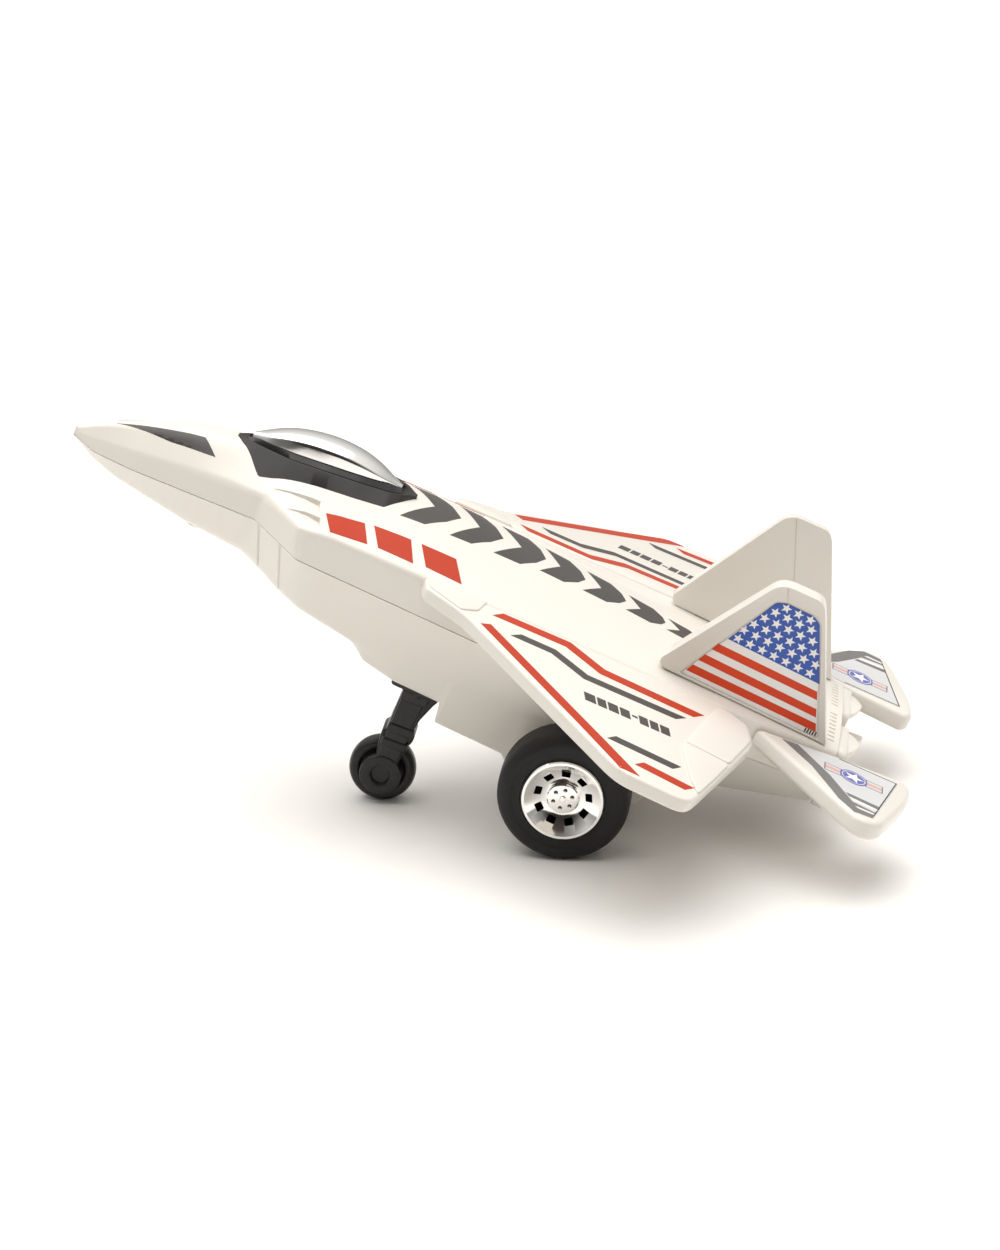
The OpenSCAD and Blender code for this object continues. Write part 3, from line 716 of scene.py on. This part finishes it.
def build_nozzles():
    parts = []
    upper = petal(-57, NOZZLE_ROOF - 0.9, 31.9, 1.3, 1.4)
    lower = petal(-60.4, NOZZLE_FLOOR + 1.3, 25.0, 1.4, -1.8)
    for side in (-1, 1):
        centre = side * NOZZLE_V
        for rings in (upper, lower):
            moved = [[(u, v + centre, w) for u, v, w in ring] for ring in rings]
            parts.append(bevel(loft("petal", moved), 0.3, 3, 50))
        ring = []
        for inset in (0, 1.3):
            half, low, high = NOZZLE_HALF - inset, NOZZLE_FLOOR + inset, NOZZLE_ROOF - 0.2 - inset
            ring.append(fillet([(-half, low), (half, low), (half, high), (-half, high)], 2.6, 6, True))
        sleeve = prism("sleeve", ring[0], lambda x, y, z: (TAIL_U - z, centre + x, y), 0.02, 2.4)
        cut(sleeve, [prism("bore", ring[1], lambda x, y, z: (TAIL_U - z, centre + x, y), 0.8, 4)])
        parts.append(bevel(sleeve, 0.25, 2, 60))
    return merge_pieces("exhaust_petals", parts, WHITE, "airframe", ["exhaust_nozzles"],
                        45)


# ---------------------------------------------------------------- wheels

NOSE_WHEEL = (38.4, -24.1216)
NOSE_WHEEL_R = 7.8
TYRE_R = 15.0
HUB_R = 9.4
HUB_FACE = 32.8
TYRE_W = 11.4
AXLE_R = 1.25


def across(at, side=1):
    """x forward, y up, z outboard along v."""
    def place(x, y, z):
        return (at[0] + x, side * z, at[1] + y)
    return place


def turned_outline(outline, angle):
    c, s = math.cos(angle), math.sin(angle)
    return [(x * c + y * s, y * c - x * s) for x, y in outline]


def circle(x, y, radius, steps=20):
    return [(x + radius * math.cos(2 * math.pi * k / steps), y + radius * math.sin(2 * math.pi * k / steps))
            for k in range(steps)]


def build_hub(side, name, node):
    profile = [(AXLE_R, 21.6), (3, 21.6), (3, 26.4), (HUB_R - 1, 29.2), (HUB_R - 1, 21.6), (HUB_R, 21.6),
               (HUB_R, HUB_FACE - 0.35), (HUB_R - 0.25, HUB_FACE), (HUB_R - 0.8, HUB_FACE),
               (HUB_R - 1.2, HUB_FACE - 0.3), (6.3, 31.1), (4.1, 30.3), (3.75, 30.3),
               (3.65, 31.15), (3.4, 31.45), (3, 31.55), (0, 31.65), (0, 31.25), (AXLE_R, 31.25)]
    disc = lathe("disc", (0, 0), profile, 120, side)
    cutters = []
    window = fillet([(-0.95, 5.0), (0.95, 5.0), (1.05, 6.6), (-1.05, 6.6)], 0.25, 3, True)
    for k in range(9):
        outline = turned_outline(window, math.radians(16 + 40 * k))
        cutters.append(prism("window", outline, across((0, 0), side), 24, 33))
    for k in range(6):
        a = math.radians(60 * k + 7)
        hole = circle(2.2 * math.sin(a), 2.2 * math.cos(a), 0.48, 16)
        cutters.append(prism("hole", hole, across((0, 0), side), 30.2, 33))
    cut(disc, cutters)
    boss_profile = [(0, 31.45), (0.75, 31.45), (0.75, 31.85), (0.6, 32.0), (0, 32.02)]
    boss = lathe("boss", (0, 0), boss_profile, 24, side)
    # Dark disc inside the hub, behind the windows: painted shade, a charcoal sheet standing in for the shaded
    # cavity seen through them.
    hub_shade_disc_profile = [(3.6, 24.6), (HUB_R - 1.2, 24.6), (HUB_R - 1.2, 25), (3.6, 25)]
    hub_shade_disc = lathe("hub_shade_disc", (0, 0), hub_shade_disc_profile, 60, side)
    parts = [inked(disc, CHROME), inked(boss, CHROME), inked(hub_shade_disc, CHARCOAL)]
    return merge_pieces(name, parts, None, "main_wheels", [node], 28)


def build_tyre(side, name, node):
    out = HUB_FACE - 0.5
    back = out - TYRE_W
    profile = [(HUB_R, back + 0.6), (HUB_R + 0.4, back + 0.1), (11.4, back + 0.1), (11.8, back),
               (12.9, back + 0.05), (13.9, back + 0.45), (14.6, back + 1.2), (14.95, back + 2.3),
               (TYRE_R, back + 3.4), (TYRE_R, out - 3.4), (14.95, out - 2.3), (14.6, out - 1.2),
               (13.9, out - 0.45), (12.9, out - 0.05), (11.8, out), (11.5, out - 0.18),
               (HUB_R + 0.7, out - 0.18), (HUB_R + 0.35, out), (HUB_R, out - 0.35)]
    tyre = lathe("tyre", (0, 0), rounded(profile, 0.35, 3), 144, side)
    return merge_pieces(name, [tyre], RUBBER, "main_wheels", [node], 40)


def build_nose_wheel():
    pin_r = 0.85
    half = [(pin_r, 2.6), (2.3, 2.6), (2.55, 2.0), (5.1, 1.9), (5.5, 2.4), (6.7, 2.5), (7.2, 2.2),
            (7.6, 1.6), (NOSE_WHEEL_R, 0.6)]
    profile = [(a, -b) for a, b in half] + list(reversed(half))
    wheel = lathe("wheel", NOSE_WHEEL, rounded(profile, 0.2, 3), 96)
    return merge_pieces("nose_roller", [wheel], BLACK, "nose_wheel", ["nose_wheel"], 40)


STRUT_SIDE = [(34, 0.9), (44.6, 1.25), (45.2, 0), (44.6, -1.6), (41.6, -2.6), (41.4, -13.5), (42.2, -14.2),
              (41.8, -17.5), (41.2, -20.5), (35.6, -20.5), (35.4, -16), (34.6, -14.4), (34.6, -12.6),
              (35.4, -11.8), (35.2, -8.6), (33.6, -3.6), (33, -2.4)]


def build_strut():
    """Forked leg: a ribbed core, two thick cheeks with collars, and round bosses at the pin."""
    level = across((0, 0))
    smooth = fillet(STRUT_SIDE, 0.7, 4, True)
    core = bevel(prism("core", smooth, level, -3.9, 3.9), 0.45, 3, 50)
    cheeks = [(35.7, -1), (41.2, -1), (41.0, -20.6), (35.9, -20.6)]
    parts = [core]
    boss_profile = [(0.8, 3.05), (4.7, 3.05), (4.85, 3.2), (4.85, 5.2), (4.7, 5.5), (4.4, 5.6),
                    (2.6, 5.6), (2.3, 5.45), (2.15, 4.9), (2.0, 4.72), (0, 4.72), (0, 4.65), (0.8, 4.65)]
    for side in (1, -1):
        cheek = prism("cheek", fillet(cheeks, 0.8, 4, True), across((0, 0), side), 2.9, 5.3)
        parts.append(bevel(cheek, 0.5, 3, 50))
        for low, high, lean in ((-4.4, -1.2, 0.5), (-12.9, -10.4, 0.3), (-16.6, -14.4, 0.3)):
            front, rear = 41.3 + lean * 0.5, 35.5 - lean
            collar = fillet([(rear, low), (front, low - 0.4), (front, high - 0.4), (rear, high)],
                            0.7, 4, True)
            parts.append(bevel(prism("collar", collar, across((0, 0), side), 3.1, 5.58), 0.5, 3, 50))
        parts.append(lathe("boss", NOSE_WHEEL, boss_profile, 64, side))
    outline = fillet([(33.4, -7), (44.9, -7), (44.9, 7), (33.4, 7)], 1.2, 5, True)
    plate = prism("plate", outline, flat, -1.6, 0.85)
    parts.append(bevel(plate, 0.5, 4, 50))
    for side in (1, -1):
        rib = prism("rib", [(3.6, -1.4), (6.3, -1.4), (4.9, -4.6), (3.6, -6.5)],
                    lambda x, y, z: (z, side * x, y), 37.2, 39.2)
        parts.append(bevel(rib, 0.25, 2, 50))
    cut(core, [rod("gap", NOSE_WHEEL, NOSE_WHEEL_R + 0.7, -3, 3, 72)])
    return merge_pieces("nose_leg", parts, BLACK, "airframe", ["nose_gear_strut"], 40)


# ---------------------------------------------------------------- printing and stickers

def surface_tree(objects):
    bm = bmesh.new()
    for obj in objects:
        bm.from_mesh(obj.data)
    bm.transform(TO_AIR)
    tree = BVHTree.FromBMesh(bm)
    bm.free()
    return tree


def printed(name, tree, outlines, ink, step=1.0, lift=0.06):
    """Ink film on the surface below; each outline is a (u, v) polygon seen from above."""
    bm = bmesh.new()
    for outline in outlines:
        bm.faces.new([bm.verts.new((u, v, 0)) for u, v in outline])
    bm.normal_update()
    bmesh.ops.triangulate(bm, faces=bm.faces, ngon_method="EAR_CLIP")
    for axis in (0, 1):
        spread = [vert.co[axis] for vert in bm.verts]
        normal = Vector((1 - axis, axis, 0))
        for at in np.arange(math.floor(min(spread) / step) * step + step, max(spread), step):
            geom = bm.verts[:] + bm.edges[:] + bm.faces[:]
            bmesh.ops.bisect_plane(bm, geom=geom, plane_co=normal * at, plane_no=normal, dist=1e-4)
    for vert in bm.verts:
        hit = tree.ray_cast(Vector((vert.co.x, vert.co.y, 90)), Vector((0, 0, -1)))[0]
        if hit is None:
            hit = tree.find_nearest(Vector((vert.co.x, vert.co.y, 34)))[0]
        vert.co.z = hit.z + lift
    bottom = bmesh.ops.extrude_face_region(bm, geom=bm.faces[:], use_keep_orig=True)["geom"]
    for vert in bottom:
        if isinstance(vert, bmesh.types.BMVert):
            vert.co.z -= 2 * lift
    bm.transform(AIR)
    bmesh.ops.recalc_face_normals(bm, faces=bm.faces)
    mesh = bpy.data.meshes.new(name)
    bm.to_mesh(mesh)
    bm.free()
    return finish_piece(new_object(name, mesh), ink, "airframe")


def both_sides(outlines):
    return outlines + [[(u, -v) for u, v in reversed(outline)] for outline in outlines]


def stripe(points, width, slant):
    """Stripe of even width along points (u, v); its ends lean by slant."""
    line_points = np.array(points, float)
    steps = np.diff(line_points, axis=0)
    normals = np.stack([-steps[:, 1], steps[:, 0]], 1) / np.linalg.norm(steps, axis=1, keepdims=True)
    offsets = []
    for k in range(len(points)):
        near = normals[max(k - 1, 0)] + normals[min(k, len(normals) - 1)]
        offsets.append(near / (near @ near) * width)
    lean = [np.array((slant if k in (0, len(points) - 1) else 0, 0)) for k in range(len(points))]
    one = [tuple(p + o - d) for p, o, d in zip(line_points, offsets, lean)]
    other = [tuple(p - o + d) for p, o, d in zip(line_points, offsets, lean)]
    return one + other[::-1]


def star(x, y, radius, lean=0.0):
    points = []
    for k in range(10):
        r = radius if k % 2 == 0 else radius * 0.42
        a = math.pi / 2 + lean + math.pi * k / 5
        points.append((x + r * math.cos(a), y + r * math.sin(a)))
    return points


def code_blocks(u0, v0, widths):
    """Row of slanted blocks that stands in for a printed code; a zero width makes a dash."""
    blocks = []
    u = u0
    for w in widths:
        if w:
            blocks.append([(u, v0 + 3.3), (u - w, v0 + 3.3), (u - w + 0.8, v0), (u + 0.8, v0)])
        else:
            w = 1.3
            blocks.append([(u + 0.3, v0 + 1.7), (u - w + 0.3, v0 + 1.7), (u - w + 0.5, v0 + 1),
                           (u + 0.5, v0 + 1)])
        u -= w + 0.45
    return blocks


def build_printing(upper, wings):
    top = surface_tree([upper])
    panels = surface_tree(wings)
    squares = [[(73.8, 18.3), (65.0, 17.1), (62.7, 23.4), (71.3, 24.5)],
               [(62.9, 16.7), (54.1, 16.5), (51.7, 23.3), (60.2, 23.1)],
               [(51.6, 16.4), (43.2, 16.4), (40.0, 23.2), (48.8, 22.7)]]
    printed("shoulder_squares", top, both_sides(squares), RED_INK)
    apexes = [45.4, 34.8, 24.1, 14.0, 3.6, -6.6, -16.6]
    notches = [51.9, 40.7, 30.2, 20.4, 9.9, -0.2, -10.4]
    fronts = [58.5, 46.5, 35.9, 24.7, 14.0, 3.2, -7.2]
    rears = [52.6, 41.3, 29.4, 18.7, 8.0, -3.1, -12.6]
    halves = [10.4, 9.9, 8.9, 7.2, 6.1, 4.6, 3.4]
    chevrons = []
    for apex, notch, front, rear, half in zip(apexes, notches, fronts, rears, halves):
        bulge = (0.5 * (rear + apex) - 0.8, 0.5 * half)
        chevrons.append([(notch, 0), (front, half), (rear, half * 0.96), bulge, (apex, 0),
                         (bulge[0], -bulge[1]), (rear, -half * 0.96), (front, -half)])
    printed("spine_chevrons", top, chevrons, BLACK_INK)
    flash = [(125.2, 1.1), (105.5, 4.0), (101.6, 7.1), (112, 4.8)]
    printed("nose_flashes", top, both_sides([flash]), BLACK_INK, 0.6, 0.09)
    reds = [[(33.2, 36.2), (6.3, 61.4), (-4.6, 72.1), (-9.2, 72.3), (0, 63.5), (31.0, 34.7)],
            stripe([(30.2, 28.8), (13.3, 28.6), (4.4, 34.1), (-18.9, 35.2)], 2.8, 1.1),
            stripe([(-8.4, 66.9), (-20.2, 68.5)], 2.4, 0.8)]
    printed("wing_red_stripes", panels, both_sides(reds), RED_INK)
    blacks = [stripe([(25.0, 34.5), (16, 34.6), (7.6, 39.7), (-15.1, 39.7)], 2.4, 1.1),
              stripe([(-1.2, 60.9), (-16.6, 61.9)], 2.3, 0.8)]
    blacks += code_blocks(6.4, 46.4, (2.6, 2.1, 2.4, 2.3, 0, 2.1, 2.0, 2.2))
    printed("wing_black_stripes", panels, both_sides(blacks), BLACK_INK, 1.0, 0.065)


def inked(obj, ink):
    obj.data.materials.append(ink)
    return obj


def build_fin_sticker(side, name, node):
    """Foil sticker: star field above, stripes below and a row of short bars at the rear corner."""
    place = on_fin(side)
    base = -RECESS_DEPTH
    film = base + FILM

    def layer(outline, ink, level):
        return inked(prism("layer", outline, place, film - 0.03, film + 0.012 * level), ink)
    parts = [inked(prism("film", fillet(FIN_STICKER, 0.6, 3, True), place, base + 0.005, film), FOIL_WHITE)]
    field = [(-41.3, 13.1), (-35.3, 26.6), (-33.4, 27.8), (-26.9, 28.1), (-24.6, 27.2), (-18.6, 14.3)]
    parts.append(layer(fillet(field, [0, 0.6, 0.6, 0.6, 0.6, 0], 3, True), BLUE_INK, 1))
    rows = [(-20.6, 15.4, 7), (-20.9, 17.9, 7), (-22.3, 20.2, 6), (-23.8, 22.6, 5), (-25.4, 24.9, 4),
            (-27.2, 26.9, 3)]
    for x0, y0, count in rows:
        for k in range(count):
            parts.append(layer(star(x0 - 2.95 * k, y0 - 0.13 * k, 1.28, 0.1), FOIL_WHITE, 2))
    rise = 1.95
    # The red stripes use the fin-sticker red, which carries painted light against the fins' shade.
    stripes = [((-16.4, 10.35), (-42.5, 9.25)), ((-14.8, 6.6), (-44.1, 5.2)), ((-13.3, 3.1), (-45.5, 1.85))]
    for (x0, y0), (x1, y1) in stripes:
        outline = [(x0, y0), (x0 - 0.43 * rise, y0 + rise), (x1 + 0.42 * rise, y1 + rise), (x1, y1)]
        parts.append(layer(outline, FIN_RED_WITH_PAINTED_LIGHT, 1))
    for k in range(5):
        x = -43.0 - 0.62 * k
        parts.append(layer([(x, 0.8), (x, 1.9), (x - 0.34, 1.9), (x - 0.34, 0.8)], BLACK_INK, 2))
    return merge_pieces(name, parts, None, "airframe", [node])


def build_tail_sticker(side, name, node):
    """Grey foil with leading-edge bands and a ring-and-bars mark."""
    place = on_tail(side)

    def layer(outline, ink, level):
        return inked(prism("layer", outline, place, FILM - 0.03, FILM + 0.012 * level), ink)
    parts = [inked(prism("film", fillet(TAIL_STICKER, 0.5, 3, True), place, 0.005, FILM), FOIL_GREY)]
    band = [(-38.8, 25.8), (-46.4, 33.6), (-53, 44.4), (-57, 48.2), (-61.3, 47.6), (-62, 44.2), (-56.4, 43.4),
            (-50.6, 34.2), (-42.6, 25.2)]
    gap = [(-57.0, 45.0), (-57.9, 45.8), (-61.7, 45.7), (-61.8, 45.0)]
    gap_two = [(-55.6, 41.6), (-56.2, 42.6), (-62.3, 43.0), (-62.5, 42.2)]
    band_two = [(-54.6, 39.8), (-55.4, 41.3), (-62.6, 41.9), (-63.0, 40.2)]
    parts.append(layer(band, GREY_INK, 1))
    parts.append(layer(gap, FOIL_WHITE, 2))
    parts.append(layer(gap_two, FOIL_WHITE, 2))
    parts.append(layer(band_two, GREY_INK, 1))
    parts.append(layer([(-66.7, 23.2), (-61.6, 46.6), (-61.3, 46.6), (-66.4, 23.2)], BLACK_INK, 2))
    parts.append(layer([(-52.6, 23.1), (-66.7, 23.1), (-66.7, 23.4), (-52.6, 23.4)], BLACK_INK, 2))
    centre = (-56.3, 30.3)
    for x0, x1 in ((-49.2, -53.4), (-59.2, -63.4)):
        y = centre[1]
        parts.append(layer([(x0, y - 1.9), (x1, y - 1.9), (x1, y + 1.9), (x0, y + 1.9)], GREY_INK, 1))
        inner = sorted((x0, x1))
        parts.append(layer([(inner[0] + 0.3, y - 1.6), (inner[1] - 0.3, y - 1.6), (inner[1] - 0.3, y + 1.6),
                            (inner[0] + 0.3, y + 1.6)], FOIL_GREY, 2))
        parts.append(layer([(inner[0] + 0.3, y - 0.6), (inner[1] - 0.3, y - 0.6), (inner[1] - 0.3, y + 0.6),
                            (inner[0] + 0.3, y + 0.6)], PINK_INK, 3))
    parts.append(layer(circle(*centre, 3.3, 40), VIOLET_INK, 4))
    parts.append(layer(circle(*centre, 2.9, 40), FOIL_GREY, 5))
    parts.append(layer(circle(*centre, 2.6, 40), VIOLET_INK, 6))
    parts.append(layer(star(*centre, 2.5, 0.35), FOIL_WHITE, 7))
    return merge_pieces(name, parts, None, "airframe", [node])


def dress_cad_nodes():
    """Inner parts stay as the CAD made them and get a procedural finish."""
    finishes = {"shell_screws": STEEL, "nose_wheel_pin": STEEL, "main_axle": STEEL, "idler_pin": STEEL,
                "flywheel": STEEL, "motor_case_left": NYLON, "motor_case_right": NYLON, "axle_gear": NYLON,
                "idler_gear": NYLON, "flywheel_pinion": NYLON}
    for node, finish in finishes.items():
        obj = frame["nodes"][node]
        for k in range(max(len(obj.material_slots), 1)):
            if obj.material_slots:
                obj.material_slots[k].material = finish
            else:
                obj.data.materials.append(finish)


# ---------------------------------------------------------------- stage

def build_stage():
    bm = bmesh.new()
    bmesh.ops.create_grid(bm, x_segments=40, y_segments=40, size=4.0)
    mesh = bpy.data.meshes.new("floor")
    bm.to_mesh(mesh)
    bm.free()
    floor = new_object("floor", mesh)
    mesh.materials.append(moulded("floor_paper", (0.93, 0.92, 0.9), 0.55, grain=0.02, tint=0.01,
                                  specular=0.25))
    world = bpy.data.worlds.new("studio")
    bpy.context.scene.world = world
    world.use_nodes = True
    tree = world.node_tree
    background = tree.nodes["Background"]
    coords = add(tree, "ShaderNodeTexCoord")
    height = add(tree, "ShaderNodeSeparateXYZ")
    tree.links.new(coords.outputs["Generated"], height.inputs[0])
    glow = add(tree, "ShaderNodeMapRange")
    glow.inputs["To Min"].default_value = 0.3
    glow.inputs["To Max"].default_value = 1.2
    tree.links.new(height.outputs["Z"], glow.inputs["Value"])
    tree.links.new(glow.outputs["Result"], background.inputs["Strength"])
    toward = add(tree, "ShaderNodeVectorMath", Operation="DOT_PRODUCT")
    toward.inputs[1].default_value = (0.0, 0.93, 0.37)
    tree.links.new(coords.outputs["Generated"], toward.inputs[0])
    room = add(tree, "ShaderNodeValToRGB")
    room.color_ramp.elements[0].position = 0.6
    room.color_ramp.elements[0].color = (1.0, 0.985, 0.955, 1)
    room.color_ramp.elements[1].position = 0.93
    room.color_ramp.elements[1].color = (0.07, 0.06, 0.055, 1)
    tree.links.new(toward.outputs["Value"], room.inputs["Fac"])
    tree.links.new(room.outputs["Color"], background.inputs["Color"])
    area_light("top_softbox", (0.1, 0.0, 1.3), (0, 0, 0.03), 1.5, 19)


def area_light(name, place, target, size, power):
    data = bpy.data.lights.new(name, "AREA")
    data.shape = "SQUARE"
    data.size = size
    data.energy = power
    data.color = (1.0, 0.985, 0.96)
    lamp = bpy.data.objects.new(name, data)
    lamp.location = place
    lamp.rotation_euler = (Vector(target) - Vector(place)).to_track_quat("-Z", "Y").to_euler()
    bpy.context.scene.collection.objects.link(lamp)


def build_camera():
    """Long lens, a little behind the wing line on the port side and looking down."""
    elevation = math.radians(20.84)
    behind = math.radians(6.12)
    offset = Vector((-73.47, 847.89, 353.53)) * MM
    forward = Vector((math.cos(elevation) * math.sin(behind), -math.cos(elevation) * math.cos(behind),
                      -math.sin(elevation)))
    data = bpy.data.cameras.new("camera")
    data.sensor_width = 36
    data.lens = 115.2
    data.clip_start = 0.01
    camera = bpy.data.objects.new("camera", data)
    camera.location = AXLE + offset
    camera.rotation_euler = forward.to_track_quat("-Z", "Y").to_euler()
    bpy.context.scene.collection.objects.link(camera)
    bpy.context.scene.camera = camera


build_camera()
build_stage()
upper = build_upper_shell()
build_lower_shell()
build_canopy()
build_cockpit_frame()
wings = []
for side, word in ((1, "left"), (-1, "right")):
    wings.append(build_wing(side, word + "_wing_panel", word + "_wing"))
    build_fin(side, word + "_tail_fin", word + "_fin")
    build_fin_sticker(side, word + "_flag_sticker", word + "_fin_sticker")
    build_tailplane(side, word + "_stabiliser", word + "_tailplane")
    build_tail_sticker(side, word + "_tail_sticker", word + "_tailplane_sticker")
    build_hub(side, word + "_wheel_hub", word + "_hub")
    build_tyre(side, word + "_wheel_tyre", word + "_tyre")
build_printing(upper, wings)
build_nozzles()
build_nose_wheel()
build_strut()
dress_cad_nodes()

bpy.context.scene.view_settings.view_transform = "Standard"
